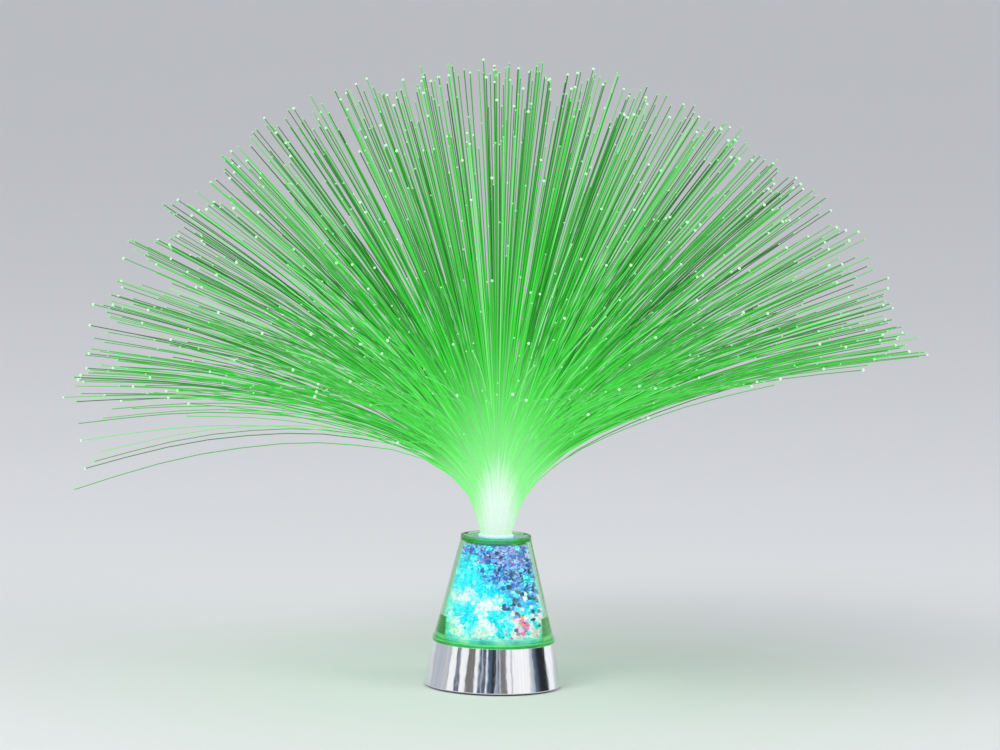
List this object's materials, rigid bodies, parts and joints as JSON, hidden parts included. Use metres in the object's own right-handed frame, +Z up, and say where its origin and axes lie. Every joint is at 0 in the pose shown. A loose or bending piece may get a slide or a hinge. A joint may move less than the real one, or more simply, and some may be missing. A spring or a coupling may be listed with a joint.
{
  "type": "fiber optic lamp",
  "caption": "Battery table lamp with a chrome base, a clear cone full of crystal chips and a spray of light fibres.",
  "frame": {"origin": "on the table, under the centre of the base", "axes": "+Z up along the lamp's axis; the battery door's hinge is at -X and the switch is at +Y"},
  "size_m": [0.4454, 0.4428, 0.327],
  "materials": {
    "chrome_shell": "mirror-plated plastic",
    "black_plastic": "fine spark texture",
    "foot_rubber": "matte",
    "screw_steel": "zinc plated",
    "cell_jacket": "plain two-tone jacket, stands in for the cell's mass",
    "contact_metal": "nickel plated",
    "knob_plastic": "satin",
    "board_laminate": "solder mask",
    "led_red": "clear epoxy",
    "led_green": "clear epoxy",
    "led_blue": "clear epoxy",
    "led_cyan": "clear epoxy",
    "led_white": "clear epoxy",
    "component_plastic": "moulded",
    "resistor_body": "lacquer",
    "wire_red": "insulation",
    "wire_white": "insulation",
    "wire_black": "insulation",
    "clear_plastic": "clear acrylic that takes the green light at its edges",
    "milky_plastic": "translucent",
    "crystal": "crushed clear acrylic, lit from below",
    "light_fiber": "side-glowing acrylic fibre with bright ends"
  },
  "bodies": {
    "lamp": {"base_housing": "chrome_shell", "bottom_cover": "black_plastic", "rubber_feet": "foot_rubber", "cover_screws": "screw_steel", "battery_1": "cell_jacket", "battery_2": "cell_jacket", "battery_3": "cell_jacket", "contact_spring_1": "contact_metal", "contact_spring_2": "contact_metal", "contact_spring_3": "contact_metal", "contact_positive": "contact_metal", "contact_negative": "contact_metal", "contact_link_left": "contact_metal", "contact_link_right": "contact_metal", "switch_body": "contact_metal", "circuit_board": "board_laminate", "board_screws": "screw_steel", "fiber_led_red": "led_red", "fiber_led_green": "led_green", "fiber_led_blue": "led_blue", "crystal_led_1": "led_cyan", "crystal_led_2": "led_white", "crystal_led_3": "led_blue", "controller_chip": "component_plastic", "resistors": "resistor_body", "capacitor": "component_plastic", "wire_positive": "wire_red", "wire_switched": "wire_white", "wire_negative": "wire_black", "deck_plate": "clear_plastic", "light_cone": "clear_plastic", "crystals_lower": "crystal", "crystals_middle": "crystal", "crystals_upper": "crystal", "top_cap": "clear_plastic", "bundle_sleeve": "milky_plastic", "fiber_spray": "light_fiber"},
    "door": {"battery_door": "black_plastic"},
    "door_fastener": {"door_screw": "screw_steel"},
    "switch": {"switch_slider": "knob_plastic"}
  },
  "joints": [
    {"name": "switch_slide", "type": "slide", "parent": "lamp", "child": "switch", "axis": [1, 0, 0], "range_m": [0, 0.002]},
    {"name": "door_hinge", "type": "hinge", "parent": "lamp", "child": "door", "pos_m": [-0.02765, 0, 0.00195], "axis": [0, 1, 0], "range_deg": [0, 100]},
    {"name": "door_screw_turn", "type": "hinge", "parent": "door", "child": "door_fastener", "pos_m": [0.0286, 0, 0.004], "axis": [0, 0, 1], "continuous": true}
  ]
}
